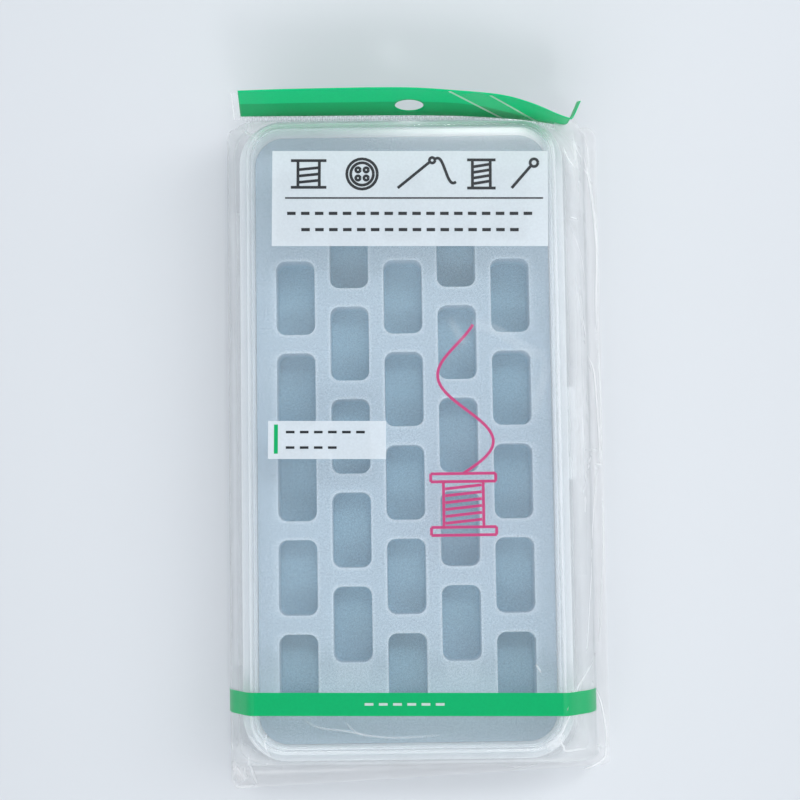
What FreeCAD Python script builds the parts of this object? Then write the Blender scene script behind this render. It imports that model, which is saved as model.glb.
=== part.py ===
import FreeCAD, Part
import math
import os

# A hinged polypropylene case for sewing-machine bobbins, with a punched foam insert,
# standing in the clear film bag with a stiff header that it hangs from.
# Millimetres, +Z up. The origin is on the resting plane, under the middle of the case.
# +Y points to the header, and the lid opens over the -X side.

# Bobbins and the slots that hold them upright
BOBBIN_DIAMETER = 20.5
BOBBIN_WIDTH = 11.5
SLOT_PLAY = 0.7          # the slot is longer than the bobbin by this
SLOT_GRIP = 0.6          # the slot is narrower than the bobbin by this, so that the foam holds it
SLOT_CORNER = 2.6
COLUMNS = 5
LONG_COLUMN_SLOTS = 6    # every other column is half a pitch along and has one slot fewer
SLOT_SIDE_WEB = 4.5      # foam left between two columns
SLOT_END_WEB = 5.46      # foam left between two slots of a column

# Foam insert
FOAM_SIDE_MARGIN = 5.75
FOAM_END_MARGIN = 9.25
FOAM_CORNER = 8.3
FOAM_PAD_HEIGHT = 2.0
FOAM_BLOCK_HEIGHT = 10.0
FOAM_CLEARANCE = 0.3     # to the case's wall, all round
FOAM_SINK = 0.8          # the foam's top lies this far below the parting plane

# Case
WALL = 1.4
FLOOR = 1.2
LID_TOP = 1.2
HEADROOM = 1.1           # from the top of a bobbin to the lid
RIM_WIDTH = 2.7          # the rims stand out this far from the walls
RIM_THICKNESS = 1.6
PARTING_GAP = 0.2
BOTTOM_EDGE_ROUND = 1.5
TOP_EDGE_ROUND = 2.6

# Living hinge along the -X side
HINGE_LENGTH = 129.0
HINGE_WEB = 0.4
HINGE_LEG = 1.5          # straight part of the web, before it turns back
HINGE_END_ROUND = 2.0

# Catch on the base and latch on the lid, in the middle of the +X side
CATCH_LENGTH = 26.5
CATCH_REACH = 2.4
CATCH_ROUND = 1.6
LATCH_LENGTH = 13.5
LATCH_WALL = 1.3
LATCH_GAP = 0.3
LATCH_HOOK = 0.8         # how far the hook reaches under the catch
LATCH_HOOK_HEIGHT = 1.4
LATCH_ROOT = 0.8         # thickness of the flexing root
LATCH_ROOT_GAP = 0.05
LATCH_NECK = 0.5         # length of the flexing root
LATCH_EDGE_ROUND = 0.4

# Film bag, drawn a little thicker than the film is
FILM = 0.25
FILM_GAP = 0.1           # between the film and the faces that it lies on
FILM_SIDE_GAP = 0.5      # beside the hinge and the ends of the case
FILM_LATCH_GAP = 2.2     # beside the latch, which leaves it room to flex
FILM_CORNER = 9.0
FILM_SHOULDER = 2.6      # the film's side walls are upright up to this height above the parting plane
BAG_SIDE_MARGIN = 3.2    # film that lies flat beside the latch side
BAG_MOUTH_MARGIN = 6.3   # film that lies flat beyond the mouth end
SEAL_HEIGHT = 2.5
SEAL_RISE = 0.6          # the weld starts this far above the parting plane
HEADER_LENGTH = 97.0
HEADER_SHIFT = 2.6       # the header's middle lies this far towards the latch side
HEADER_HEIGHT = 20.0
HEADER_FILM = 0.4
HEADER_LEAN_DEG = 79.0   # from level, rising away from the case
HANG_HOLE_DIAMETER = 8.2
HANG_HOLE_RISE = 7.5     # from the header's lower edge

OVERCUT = 1.0            # cutting solids run past the faces they cut by this
SAME_HEIGHT = 1e-6

# Sizes in plan
slot_length = BOBBIN_DIAMETER + SLOT_PLAY
slot_width = BOBBIN_WIDTH - SLOT_GRIP
column_pitch = slot_width + SLOT_SIDE_WEB
row_pitch = slot_length + SLOT_END_WEB
foam_width = COLUMNS * column_pitch - SLOT_SIDE_WEB + 2 * FOAM_SIDE_MARGIN
foam_length = LONG_COLUMN_SLOTS * row_pitch - SLOT_END_WEB + 2 * FOAM_END_MARGIN
wall_outside = FOAM_CLEARANCE + WALL
rim_outside = wall_outside + RIM_WIDTH
rim_x = foam_width / 2 + rim_outside
rim_y = foam_length / 2 + rim_outside

# Heights
base_bottom = FILM + FILM_GAP
floor_top = base_bottom + FLOOR
pad_top = floor_top + FOAM_PAD_HEIGHT
block_top = pad_top + FOAM_BLOCK_HEIGHT
parting = block_top + FOAM_SINK
lid_bottom = parting + PARTING_GAP
lid_ceiling = pad_top + BOBBIN_DIAMETER + HEADROOM
lid_top = lid_ceiling + LID_TOP
film_top = lid_top + FILM_GAP + FILM

# Hinge: the web leaves both rims at mid-thickness and turns through half a circle between them.
# Its own length is what parts the two rims when the lid lies open flat.
web_low = parting - RIM_THICKNESS / 2
web_high = lid_bottom + RIM_THICKNESS / 2
web_radius = (web_high - web_low) / 2
hinge_axis_x = -rim_x - HINGE_LEG - math.pi / 2 * web_radius
hinge_axis_z = (web_low + web_high) / 2
hinge_tip_x = -rim_x - HINGE_LEG - web_radius - HINGE_WEB / 2

# Latch: it turns about its round root, and the hook's upper face is an arc about that root
latch_axis_x = rim_x + LATCH_ROOT_GAP + LATCH_ROOT / 2
latch_axis_z = lid_bottom + RIM_THICKNESS / 2
catch_x = rim_x + CATCH_REACH
catch_bottom = parting - RIM_THICKNESS
latch_inner_x = catch_x + LATCH_GAP
latch_outer_x = latch_inner_x + LATCH_WALL
hook_tip_x = catch_x - LATCH_HOOK
hook_radius = math.hypot(catch_x - latch_axis_x, latch_axis_z - catch_bottom) + LATCH_GAP

# Bag
film_left = hinge_tip_x - FILM_SIDE_GAP
film_right = latch_outer_x + FILM_LATCH_GAP
film_front = -rim_y - FILM_SIDE_GAP
film_back = rim_y + FILM_SIDE_GAP
film_shoulder = parting + FILM_SHOULDER
film_lid_x = foam_width / 2 + wall_outside + FILM_GAP
film_lid_y = foam_length / 2 + wall_outside + FILM_GAP
bag_right = film_right + FILM + BAG_SIDE_MARGIN
bag_mouth = film_front - FILM - BAG_MOUTH_MARGIN
seal_bottom = parting + SEAL_RISE
header_lean = math.radians(HEADER_LEAN_DEG)


def rounded_outline(low, high, radius, z):
    """Closed rounded rectangle at height z between two opposite corners."""
    x0, y0 = low
    x1, y1 = high
    bulge = radius * (1 - math.sqrt(0.5))
    corners = [
        ((x1 - radius, y0), (x1 - bulge, y0 + bulge), (x1, y0 + radius)),
        ((x1, y1 - radius), (x1 - bulge, y1 - bulge), (x1 - radius, y1)),
        ((x0 + radius, y1), (x0 + bulge, y1 - bulge), (x0, y1 - radius)),
        ((x0, y0 + radius), (x0 + bulge, y0 + bulge), (x0 + radius, y0)),
    ]
    edges = []
    last = FreeCAD.Vector(*corners[-1][2], z)
    for corner in corners:
        start, middle, end = [FreeCAD.Vector(*point, z) for point in corner]
        edges.append(Part.LineSegment(last, start).toShape())
        edges.append(Part.Arc(start, middle, end).toShape())
        last = end
    return Part.Wire(edges)


def rounded_block(low, high, radius, bottom, top):
    """Upright solid with a rounded rectangle for its plan."""
    face = Part.Face(rounded_outline(low, high, radius, bottom))
    return face.extrude(FreeCAD.Vector(0, 0, top - bottom))


def around_foam(offset, bottom, top):
    """Upright solid that follows the foam's plan at a constant distance outside it."""
    x = foam_width / 2 + offset
    y = foam_length / 2 + offset
    return rounded_block((-x, -y), (x, y), FOAM_CORNER + offset, bottom, top)


def edges_at(shape, z):
    """The edges of a shape that lie level at height z."""
    return [
        e
        for e in shape.Edges
        if abs(e.BoundBox.ZMin - z) < SAME_HEIGHT and abs(e.BoundBox.ZMax - z) < SAME_HEIGHT
    ]


def section_prism(points, y0, y1):
    """Solid made from an outline in the XZ plane, carried along Y from y0 to y1."""
    corners = [FreeCAD.Vector(x, y0, z) for x, z in points]
    wire = Part.makePolygon(corners + corners[:1])
    return Part.Face(wire).extrude(FreeCAD.Vector(0, y1 - y0, 0))


def slot_places():
    """Centres of all slots, column by column."""
    places = []
    for column in range(COLUMNS):
        count = LONG_COLUMN_SLOTS - column % 2
        x = (column - (COLUMNS - 1) / 2) * column_pitch
        places += [(x, (row - (count - 1) / 2) * row_pitch) for row in range(count)]
    return places


def foam_pad():
    """Plain sheet under the punched block."""
    return around_foam(0, floor_top, pad_top)


def foam_block():
    """Block with one slot punched through it for each bobbin."""
    half_x = slot_width / 2
    half_y = slot_length / 2
    slots = [
        rounded_block((x - half_x, y - half_y), (x + half_x, y + half_y), SLOT_CORNER, pad_top, block_top)
        for x, y in slot_places()
    ]
    return around_foam(0, pad_top, block_top).cut(slots)


def catch():
    """Ledge on the base's rim that the latch hooks under."""
    inner = rim_x - RIM_WIDTH
    half = CATCH_LENGTH / 2
    return rounded_block((inner - CATCH_ROUND, -half), (catch_x, half), CATCH_ROUND, catch_bottom, parting)


def base_shell():
    """Tray with a rim all round and a catch on it."""
    tray = around_foam(wall_outside, base_bottom, parting)
    tray = tray.makeFillet(BOTTOM_EDGE_ROUND, edges_at(tray, base_bottom))
    rim = around_foam(rim_outside, catch_bottom, parting)
    hollow = around_foam(FOAM_CLEARANCE, floor_top, parting)
    return tray.fuse([rim, catch()]).cut(hollow).removeSplitter()


def lid_shell():
    """Cover with a rim that meets the base's rim."""
    cover = around_foam(wall_outside, lid_bottom, lid_top)
    cover = cover.makeFillet(TOP_EDGE_ROUND, edges_at(cover, lid_top))
    rim = around_foam(rim_outside, lid_bottom, lid_bottom + RIM_THICKNESS)
    hollow = around_foam(FOAM_CLEARANCE, lid_bottom, lid_ceiling)
    inner_round = max(TOP_EDGE_ROUND - WALL, WALL / 2)
    hollow = hollow.makeFillet(inner_round, edges_at(hollow, lid_ceiling))
    return cover.fuse(rim).cut(hollow).removeSplitter()


def living_hinge():
    """Thin web that leaves both rims and turns back between them, with its ends rounded in plan."""
    half = HINGE_LENGTH / 2
    turn_x = -rim_x - HINGE_LEG
    along = FreeCAD.Vector(0, 1, 0)
    foot = FreeCAD.Vector(turn_x, -half, hinge_axis_z)
    web = None
    for radius in (web_radius + HINGE_WEB / 2, web_radius - HINGE_WEB / 2):
        block = section_prism(
            [
                (turn_x, hinge_axis_z - radius),
                (-rim_x, hinge_axis_z - radius),
                (-rim_x, hinge_axis_z + radius),
                (turn_x, hinge_axis_z + radius),
            ],
            -half,
            half,
        )
        tongue = block.fuse(Part.makeCylinder(radius, HINGE_LENGTH, foot, along))
        web = tongue if web is None else web.cut(tongue)
    outline = rounded_block(
        (hinge_tip_x, -half),
        (-rim_x + HINGE_END_ROUND, half),
        HINGE_END_ROUND,
        web_low - HINGE_WEB - OVERCUT,
        web_high + HINGE_WEB + OVERCUT,
    )
    return web.common(outline).removeSplitter()


def arc_point(radius, x):
    """Height below the latch's root of the point at x on an arc about that root."""
    return latch_axis_z - math.sqrt(radius**2 - (x - latch_axis_x) ** 2)


def latch_tab():
    """Tab that crosses over the catch, hangs down beside it and hooks under it."""
    half = LATCH_LENGTH / 2
    bridge_x = latch_axis_x + LATCH_NECK
    bridge_top = lid_bottom + RIM_THICKNESS
    hook_tip = FreeCAD.Vector(hook_tip_x, -half, arc_point(hook_radius, hook_tip_x))
    hook_end = FreeCAD.Vector(latch_inner_x, -half, arc_point(hook_radius, latch_inner_x))
    middle_x = (hook_tip_x + latch_inner_x) / 2
    hook_middle = FreeCAD.Vector(middle_x, -half, arc_point(hook_radius, middle_x))
    foot = hook_tip.z - LATCH_HOOK_HEIGHT
    outline = [
        (hook_tip.x, hook_tip.z),
        (hook_tip.x + LATCH_HOOK, foot),
        (latch_outer_x, foot),
        (latch_outer_x, bridge_top),
        (bridge_x, bridge_top),
        (bridge_x, lid_bottom),
        (latch_inner_x, lid_bottom),
        (hook_end.x, hook_end.z),
    ]
    corners = [FreeCAD.Vector(x, -half, z) for x, z in outline]
    edges = [Part.LineSegment(a, b).toShape() for a, b in zip(corners, corners[1:])]
    edges.append(Part.Arc(hook_end, hook_middle, hook_tip).toShape())
    tab = Part.Face(Part.Wire(edges)).extrude(FreeCAD.Vector(0, LATCH_LENGTH, 0))
    outer = [
        e
        for e in tab.Edges
        if abs(e.BoundBox.XMin - latch_outer_x) < LATCH_EDGE_ROUND and e.BoundBox.ZMax > catch_bottom
    ]
    tab = tab.makeFillet(LATCH_EDGE_ROUND, outer)
    half_root = LATCH_ROOT / 2
    neck = section_prism(
        [
            (latch_axis_x, latch_axis_z - half_root),
            (bridge_x, latch_axis_z - half_root),
            (bridge_x, latch_axis_z + half_root),
            (latch_axis_x, latch_axis_z + half_root),
        ],
        -half,
        half,
    )
    root_start = FreeCAD.Vector(latch_axis_x, -half, latch_axis_z)
    root = Part.makeCylinder(half_root, LATCH_LENGTH, root_start, FreeCAD.Vector(0, 1, 0))
    return tab.fuse([neck, root]).removeSplitter()


def film_tent(inset):
    """Solid under the front film: upright up to its shoulders, then drawn in to the lid's top edge."""
    spread = FILM - inset
    low = (film_left - spread, film_front - spread)
    high = (film_right + spread, film_back + spread)
    lid_low = (-film_lid_x - spread, -film_lid_y - spread)
    lid_high = (film_lid_x + spread, film_lid_y + spread)
    radius = FILM_CORNER + spread
    sections = [
        rounded_outline(low, high, radius, FILM),
        rounded_outline(low, high, radius, film_shoulder),
        rounded_outline(lid_low, lid_high, radius, film_top - inset),
    ]
    return Part.makeLoft(sections, True, True)


def bag_front():
    """Front film over the case, with the film that lies flat beside the latch and beyond the mouth."""
    outer = film_tent(0)
    inner = film_tent(FILM)
    margin = rounded_block(
        (film_left - FILM, bag_mouth),
        (bag_right, film_back + FILM),
        FILM_CORNER,
        FILM,
        FILM + FILM,
    )
    return outer.fuse(margin).cut(inner).removeSplitter()


def bag_back():
    """Back film, flat under the whole bag."""
    return rounded_block((film_left - FILM, bag_mouth), (bag_right, film_back + FILM), FILM_CORNER, 0, FILM)


def leaning_plate(rise, height, thickness):
    """Upright strip of the header, turned to its lean about the line where the weld starts."""
    start = FreeCAD.Vector(HEADER_SHIFT - HEADER_LENGTH / 2, film_back + FILM, seal_bottom + rise)
    plate = Part.makeBox(HEADER_LENGTH, thickness, height, start)
    pivot = FreeCAD.Vector(0, film_back + FILM, seal_bottom)
    plate.rotate(pivot, FreeCAD.Vector(1, 0, 0), HEADER_LEAN_DEG - 90)
    return plate


def bag_seal():
    """Welded strip where both films meet under the header."""
    return leaning_plate(0, SEAL_HEIGHT, HEADER_FILM)


def bag_header():
    """Stiff printed strip with its hang hole."""
    rise = SEAL_HEIGHT + HANG_HOLE_RISE
    centre = FreeCAD.Vector(
        HEADER_SHIFT,
        film_back + FILM + rise * math.cos(header_lean),
        seal_bottom + rise * math.sin(header_lean),
    )
    through = FreeCAD.Vector(0, math.sin(header_lean), -math.cos(header_lean))
    depth = HEADER_FILM + 2 * OVERCUT
    hole = Part.makeCylinder(HANG_HOLE_DIAMETER / 2, depth, centre - through * OVERCUT, through)
    return leaning_plate(SEAL_HEIGHT, HEADER_HEIGHT, HEADER_FILM).cut(hole)


NODES = [
    base_shell,
    lid_shell,
    living_hinge,
    latch_tab,
    foam_pad,
    foam_block,
    bag_back,
    bag_front,
    bag_seal,
    bag_header,
]

os.makedirs("parts", exist_ok=True)
for make in NODES:
    shape = make()
    shape.exportStep(f"parts/{make.__name__}.step")
    print(make.__name__, len(shape.Solids), round(shape.Volume, 1), shape.isValid())
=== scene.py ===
import math

import bmesh
import bpy
import numpy as np
from bpy.props import FloatProperty, FloatVectorProperty, PointerProperty
from mathutils import Matrix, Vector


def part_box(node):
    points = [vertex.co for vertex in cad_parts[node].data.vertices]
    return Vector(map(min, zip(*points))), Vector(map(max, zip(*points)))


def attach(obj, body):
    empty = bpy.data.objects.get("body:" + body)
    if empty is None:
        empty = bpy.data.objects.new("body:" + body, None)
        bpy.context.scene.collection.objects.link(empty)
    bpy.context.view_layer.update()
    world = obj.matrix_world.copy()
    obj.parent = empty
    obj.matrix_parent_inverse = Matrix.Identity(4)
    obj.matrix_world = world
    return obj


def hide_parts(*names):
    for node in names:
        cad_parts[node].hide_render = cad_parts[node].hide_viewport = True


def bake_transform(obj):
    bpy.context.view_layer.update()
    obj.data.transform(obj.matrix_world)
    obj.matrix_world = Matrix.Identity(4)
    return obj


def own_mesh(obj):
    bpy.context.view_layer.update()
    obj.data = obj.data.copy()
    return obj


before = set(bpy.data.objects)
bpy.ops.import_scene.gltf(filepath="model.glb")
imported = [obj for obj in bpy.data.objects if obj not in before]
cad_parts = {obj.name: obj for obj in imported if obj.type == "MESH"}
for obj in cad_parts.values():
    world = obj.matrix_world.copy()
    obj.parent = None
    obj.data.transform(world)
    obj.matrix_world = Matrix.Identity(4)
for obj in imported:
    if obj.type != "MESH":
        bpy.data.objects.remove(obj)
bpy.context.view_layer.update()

bl_info = {
    "name": "Bobbin box in its header bag",
    "version": (1, 0, 0),
    "blender": (4, 5, 0),
    "location": "3D View > Sidebar > Bobbin box",
    "description": "Milky hinged case with a punched foam insert, in a clear film bag with a green header",
    "category": "Object",
}

MM = 0.001


def linear(code):
    """sRGB hex to linear RGB."""
    srgb = np.array([int(code[i : i + 2], 16) for i in (1, 3, 5)]) / 255
    return tuple(np.where(srgb <= 0.04045, srgb / 12.92, ((srgb + 0.055) / 1.055) ** 2.4))


def box_mm(node):
    """Lowest and highest corner of a CAD node, in millimetres."""
    low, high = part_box(node)
    return np.array(low) / MM, np.array(high) / MM


FOAM_LOW, FOAM_HIGH = box_mm("foam_block")
PAD_LOW, PAD_HIGH = box_mm("foam_pad")
BASE_LOW, BASE_HIGH = box_mm("base_shell")
LID_LOW, LID_HIGH = box_mm("lid_shell")
WEB_LOW, WEB_HIGH = box_mm("living_hinge")
FILM_TOP = box_mm("bag_front")[1][2]
WELD_FOOT = box_mm("bag_seal")[0][2]


def length(name, description, millimetres):
    """A property for a length, given in millimetres and kept in metres."""
    size = millimetres * MM
    return FloatProperty(name=name, description=description, default=size, unit="LENGTH", precision=5)


def colour(name, description, code):
    """A property for a colour, given as sRGB hex and kept linear."""
    return FloatVectorProperty(
        name=name, description=description, default=linear(code), subtype="COLOR", min=0.0, max=1.0
    )


class BobbinCaseSettings(bpy.types.PropertyGroup):
    """Sizes and colours of the case."""

    wall: length("Wall", "Thickness of the walls", 1.4)
    floor: length("Floor", "Thickness of the tray's floor", 1.2)
    top: length("Lid top", "Thickness of the lid's top", 1.2)
    clearance: length("Foam clearance", "From the foam to the wall", 0.3)
    rim_width: length("Rim width", "How far the rims stand out from the walls", 2.7)
    rim_thickness: length("Rim thickness", "Thickness of each rim", 1.6)
    top_round: length("Top edge round", "Radius of the lid's upper edge", 2.6)
    bottom_round: length("Bottom edge round", "Radius of the tray's lower edge", 1.5)
    edge_round: length("Moulded edge", "Radius of the small moulded edges", 0.35)
    catch_length: length("Catch length", "Length of the ledge that the latch hooks under", 26.5)
    web: length("Hinge web", "Thickness of the hinge web", 0.4)
    plastic: colour("Plastic", "Milky polypropylene", "#FCFEFF")
    motif: colour("Motif ink", "Ink of the line drawing on the lid", "#D2437F")


class BobbinFoamSettings(bpy.types.PropertyGroup):
    """Sizes and colours of the foam insert."""

    corner: length("Corner", "Corner radius of the insert", 8.3)
    slot_width: length("Slot width", "Width of a slot", 10.9)
    slot_length: length("Slot length", "Length of a slot", 21.2)
    slot_corner: length("Slot corner", "Corner radius of a slot", 2.6)
    column_pitch: length("Column pitch", "From one column of slots to the next", 15.4)
    row_pitch: length("Row pitch", "From one slot of a column to the next", 26.66)
    lip: length("Slot lip", "Radius of the soft edge round a slot", 0.45)
    top: colour("Foam", "Upper face of the foam", "#B4C7D5")
    # Painted shade: the foam's colour darkened for the slot floors
    slot_shade: colour("Foam in the slots", "Floors of the slots", "#9CC2D4")
    # Painted highlight: a paler colour for the lip round each slot
    lip_highlight: colour("Foam at the lips", "Pressed edge round a slot", "#CBDBE6")


class BobbinBagSettings(bpy.types.PropertyGroup):
    """Sizes and colours of the bag and its prints."""

    header_height: length("Header height", "From the weld to the header's upper edge", 20.0)
    weld_height: length("Weld height", "Height of the welded strip", 2.5)
    weld_pitch: length("Weld pitch", "From one rib of the weld to the next", 1.4)
    hole: length("Hang hole", "Diameter of the hang hole", 8.2)
    hole_rise: length("Hole height", "From the header's lower edge to the hole", 7.5)
    green: colour("Green", "Band and bar", "#00B76D")
    # Painted light: the brighter green stands in for light shining through where the header is one layer, and
    # the darker green is painted shade where a second layer lies behind it
    single: colour("Header green", "Header where it is one layer", "#05DE97")
    double: colour("Header double green", "Header where a second layer lies behind it", "#07C27A")
    white: colour("Label white", "White ink of the label panels", "#E9EEF1")
    ink: colour("Dark ink", "Dark ink of the line drawings", "#23282D")


class BobbinStageSettings(bpy.types.PropertyGroup):
    """Floor, light and camera."""

    floor: colour("Floor", "Pale table top", "#D3D6D9")
    sky: colour("Surroundings", "Light from all round", "#EDF3FB")
    lens: length("Lens", "Focal length of the camera", 75.0)


# Meshes

# Points nearer than the first become one, and edges shorter than the second go, in metres
MERGE, SLIVER = 2e-6, 1e-6


def grid_faces(rows, columns, wrap):
    """Quads between neighbouring rows of a grid. wrap joins the last column to the first."""
    row = np.arange(rows - 1)[:, None]
    column = np.arange(columns if wrap else columns - 1)[None, :]
    following = (column + 1) % columns
    quads = [row * columns + column, row * columns + following]
    quads += [(row + 1) * columns + following, (row + 1) * columns + column]
    return np.stack(np.broadcast_arrays(*quads), -1).reshape(-1, 4)


def add_piece(name, grids, material, closed=True, sharp_deg=40.0, mark=None):
    """One object from (points, wrap) grids, in millimetres. A closed one is turned outwards by its volume,
    and an open one by its upward side. mark gives each point a number that the material reads."""
    points = []
    faces = []
    start = 0
    for grid, wrap in grids:
        rows, columns = grid.shape[:2]
        points.append(grid.reshape(-1, 3))
        faces.append(grid_faces(rows, columns, wrap) + start)
        start += rows * columns
    mesh = bpy.data.meshes.new(name)
    mesh.from_pydata((np.concatenate(points) * MM).tolist(), [], np.concatenate(faces).tolist())
    if mark is not None:
        values = mark.ravel().astype(np.float32)
        mesh.attributes.new("mark", "FLOAT", "POINT").data.foreach_set("value", values)
    bm = bmesh.new()
    bm.from_mesh(mesh)
    bmesh.ops.remove_doubles(bm, verts=bm.verts, dist=MERGE)
    bmesh.ops.dissolve_degenerate(bm, edges=bm.edges, dist=SLIVER)
    if not closed:
        bmesh.ops.recalc_face_normals(bm, faces=bm.faces)
    bm.normal_update()
    outward = bm.calc_volume(signed=True) if closed else sum(f.normal.z * f.calc_area() for f in bm.faces)
    if outward < 0:
        bmesh.ops.reverse_faces(bm, faces=bm.faces)
    bm.to_mesh(mesh)
    bm.free()
    mesh.shade_smooth()
    mesh.set_sharp_from_angle(angle=math.radians(sharp_deg))
    mesh.materials.append(material)
    piece = bpy.data.objects.new(name, mesh)
    bpy.context.scene.collection.objects.link(piece)
    return piece


def add_sheet(name, grids, material, mark=None):
    """An open piece without sharp edges."""
    return add_piece(name, grids, material, closed=False, sharp_deg=180.0, mark=mark)


def rounded_path(low, high, radius, along_x, along_y, turn):
    """Counter-clockwise walk round a rounded rectangle, as corner centres and outward normals: the point of a
    ring is its centre plus the radius times its normal."""
    x0, y0 = np.add(low, radius)
    x1, y1 = np.subtract(high, radius)
    corners = np.array([(x1, y0), (x1, y1), (x0, y1), (x0, y0)])
    centre = []
    angle = []
    for side, count in enumerate((along_y, along_x, along_y, along_x)):
        start, end = corners[side], corners[(side + 1) % 4]
        facing = side * math.pi / 2
        centre += [start + (end - start) * (np.arange(count) / count)[:, None], np.tile(end, (turn, 1))]
        angle += [np.full(count, facing), np.arange(turn) / turn * math.pi / 2 + facing]
    angle = np.concatenate(angle)
    return np.concatenate(centre), np.stack([np.cos(angle), np.sin(angle)], -1)


def square_path(x, y):
    """Counter-clockwise walk round a rectangle, through given places along its sides."""
    bottom, top = (np.stack([x, np.full(len(x), level)], -1) for level in (y[0], y[-1]))
    left, right = (np.stack([np.full(len(y), place), y], -1) for place in (x[0], x[-1]))
    return np.concatenate([bottom[:-1], right[:-1], top[:0:-1], left[:0:-1]])


def raised(plan, height):
    """Plan points with a height: one for all, one for each row, or one for each point."""
    height = np.reshape(height, np.shape(height) + (1,) * (plan.ndim - np.ndim(height)))
    return np.concatenate([plan, np.broadcast_to(height, plan.shape[:-1] + (1,))], -1)


def rings(path, radius, profile):
    """The profile's (offset, height) pairs carried round a path: one ring for each pair."""
    centre, normal = path
    offset, height = np.asarray(profile, float).T
    return raised(centre + (radius + offset)[:, None, None] * normal, height)


def spine(path, radius, height):
    """The ring shrunk onto the middle line of its own rectangle, which closes a shell."""
    centre, _ = path
    low = centre.min(0) - radius
    high = centre.max(0) + radius
    reach = (high - low).min() / 2
    return raised(np.clip(centre, low + reach, high - reach), height)[None]


def shell(path, radius, section):
    """The section carried round a path, and closed at both ends on the path's middle line."""
    start, end = section[[0, -1], 1]
    body = rings(path, radius, section)
    return np.concatenate([spine(path, radius, start), body, spine(path, radius, end)])


def soften(corners, steps=6):
    """Polyline with its corners rounded: each (x, z, radius) becomes a quadratic arc that starts and ends one
    radius away from the corner."""
    corners = np.asarray(corners, float)
    point = corners[:, :2]
    t = np.linspace(0, 1, steps)[:, None]
    out = [point[:1]]
    for before, here, after, radius in zip(point, point[1:], point[2:], corners[1:-1, 2]):
        start = here + (before - here) / np.linalg.norm(before - here) * radius
        end = here + (after - here) / np.linalg.norm(after - here) * radius
        out.append((1 - t) ** 2 * start + 2 * t * (1 - t) * here + t**2 * end)
    return np.concatenate(out + [point[-1:]])


def leftward(points):
    """Unit vectors to the left of a path, one for each of its points."""
    along = np.gradient(points, axis=0)
    along /= np.linalg.norm(along, axis=1, keepdims=True)
    return np.stack([-along[:, 1], along[:, 0]], -1)


def ribbon(points, width, height):
    """Flat stroke of constant width along a plan path: each point moved half the width to both sides."""
    side = leftward(points) * width / 2
    return raised(np.stack([points - side, points + side], 1), height)


def densify(stroke, step=1.0):
    """Straight stroke cut into short steps, so that it can follow what it lies on."""
    stroke = np.asarray(stroke, float)
    run = np.concatenate([[0], np.cumsum(np.linalg.norm(np.diff(stroke, axis=0), axis=1))])
    at = np.linspace(0, run[-1], max(3, int(run[-1] / step) + 1))
    return np.stack([np.interp(at, run, stroke[:, 0]), np.interp(at, run, stroke[:, 1])], -1)


# Height of ink over what it is printed on, and the rise from one stroke of a drawing to the next, so that
# strokes that cross don't share a plane, in mm
INK_LIFT, INK_STEP = 0.03, 0.003


def drawing(paths, width, height):
    """Paths as ribbons, each a little higher than the one before."""
    return [(ribbon(path, width, height + INK_STEP * layer), False) for layer, path in enumerate(paths)]


def smooth_rows(keys, steps):
    """Rows between key rows, by a Catmull-Rom curve through each column."""
    keys = np.asarray(keys, float)
    padded = np.concatenate([2 * keys[:1] - keys[1:2], keys, 2 * keys[-1:] - keys[-2:-1]])
    t = (np.arange(steps) / steps)[:, None]
    a, b, c, d = (padded[i : len(padded) - 3 + i, None] for i in range(4))
    curve = 0.5 * (2 * b + (c - a) * t + (2 * a - 5 * b + 4 * c - d) * t**2 + (3 * b - a - 3 * c + d) * t**3)
    return np.concatenate([curve.reshape(-1, keys.shape[1]), keys[-1:]])


# Materials


def add_node(tree, kind, inputs=None, **settings):
    """A node with its settings; an input that is a socket is linked, and any other is set."""
    node = tree.nodes.new(kind)
    for name, value in settings.items():
        setattr(node, name, value)
    for name, value in (inputs or {}).items():
        if isinstance(value, bpy.types.NodeSocket):
            tree.links.new(value, node.inputs[name])
        else:
            node.inputs[name].default_value = value
    return node


def new_material(name):
    """An empty node material and its tree."""
    material = bpy.data.materials.new(name)
    material.use_nodes = True
    material.node_tree.nodes.clear()
    return material, material.node_tree


def opaque(tint):
    """A colour with full alpha."""
    return (*tint[:3], 1.0)


def maths(tree, operation, *values):
    """Result of one operation on two or three values."""
    return add_node(tree, "ShaderNodeMath", dict(enumerate(values)), operation=operation).outputs[0]


def remap(tree, value, low, high, to_low=0.0, to_high=1.0, curve="LINEAR"):
    """A value carried from one range to another, and held at its ends."""
    inputs = {"Value": value, "From Min": low, "From Max": high, "To Min": to_low, "To Max": to_high}
    return add_node(tree, "ShaderNodeMapRange", inputs, interpolation_type=curve).outputs["Result"]


def noise(tree, size, detail=2.0, roughness=0.5):
    """Noise over the object, with features of a size in millimetres."""
    place = add_node(tree, "ShaderNodeTexCoord").outputs["Object"]
    inputs = {"Vector": place, "Scale": 1 / (size * MM), "Detail": detail, "Roughness": roughness}
    return add_node(tree, "ShaderNodeTexNoise", inputs).outputs["Fac"]


# Where most values of a noise lie
NOISE_RANGE = (0.3, 0.7)


def wavering(tree, value, spread):
    """A noise as a factor that wavers about one by the spread."""
    return remap(tree, value, *NOISE_RANGE, 1 - spread, 1 + spread)


def bumped(tree, height, strength, distance):
    """The normal over a height that is taken from a noise, with the distance in millimetres."""
    inputs = {"Height": height, "Strength": strength, "Distance": distance * MM}
    return add_node(tree, "ShaderNodeBump", inputs).outputs["Normal"]


def marked(tree):
    """The number that the piece gives each of its points."""
    return add_node(tree, "ShaderNodeAttribute", attribute_name="mark").outputs["Fac"]


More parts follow.
